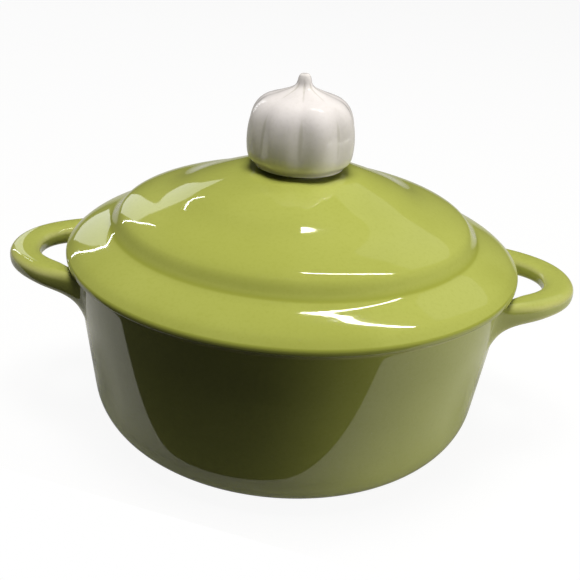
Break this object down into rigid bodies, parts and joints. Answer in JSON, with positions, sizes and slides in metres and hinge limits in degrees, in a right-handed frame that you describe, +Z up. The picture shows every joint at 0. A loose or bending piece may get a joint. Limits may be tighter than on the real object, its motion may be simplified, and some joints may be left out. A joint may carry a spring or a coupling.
{
  "type": "covered baking dish",
  "caption": "Round tapered stoneware baking dish with ear handles, and a stepped overhanging lid that lifts off by a white garlic-bulb knob.",
  "frame": {"origin": "centre of the foot ring, on the surface that the dish stands on", "axes": "+Z up along the axis of the dish and lid, +X through the right handle, -Y towards the front"},
  "size_m": [0.2788, 0.2196, 0.1789],
  "materials": {
    "green_glaze": "glossy olive green glaze over pale stoneware",
    "white_glaze": "glossy warm white glaze",
    "insert_brass": "plain turned brass",
    "seal_silicone": "matt translucent silicone",
    "screw_steel": "plain stainless steel"
  },
  "bodies": {
    "dish": {"dish_body": "green_glaze", "left_handle": "green_glaze", "right_handle": "green_glaze"},
    "lid": {"lid_shell": "green_glaze", "garlic_knob": "white_glaze", "knob_insert": "insert_brass", "knob_seal": "seal_silicone", "screw_washer": "screw_steel", "knob_screw": "screw_steel"}
  },
  "joints": [
    {"name": "lid_lift", "type": "slide", "parent": "dish", "child": "lid", "axis": [0, 0, 1], "range_m": [0, 0.12]}
  ]
}
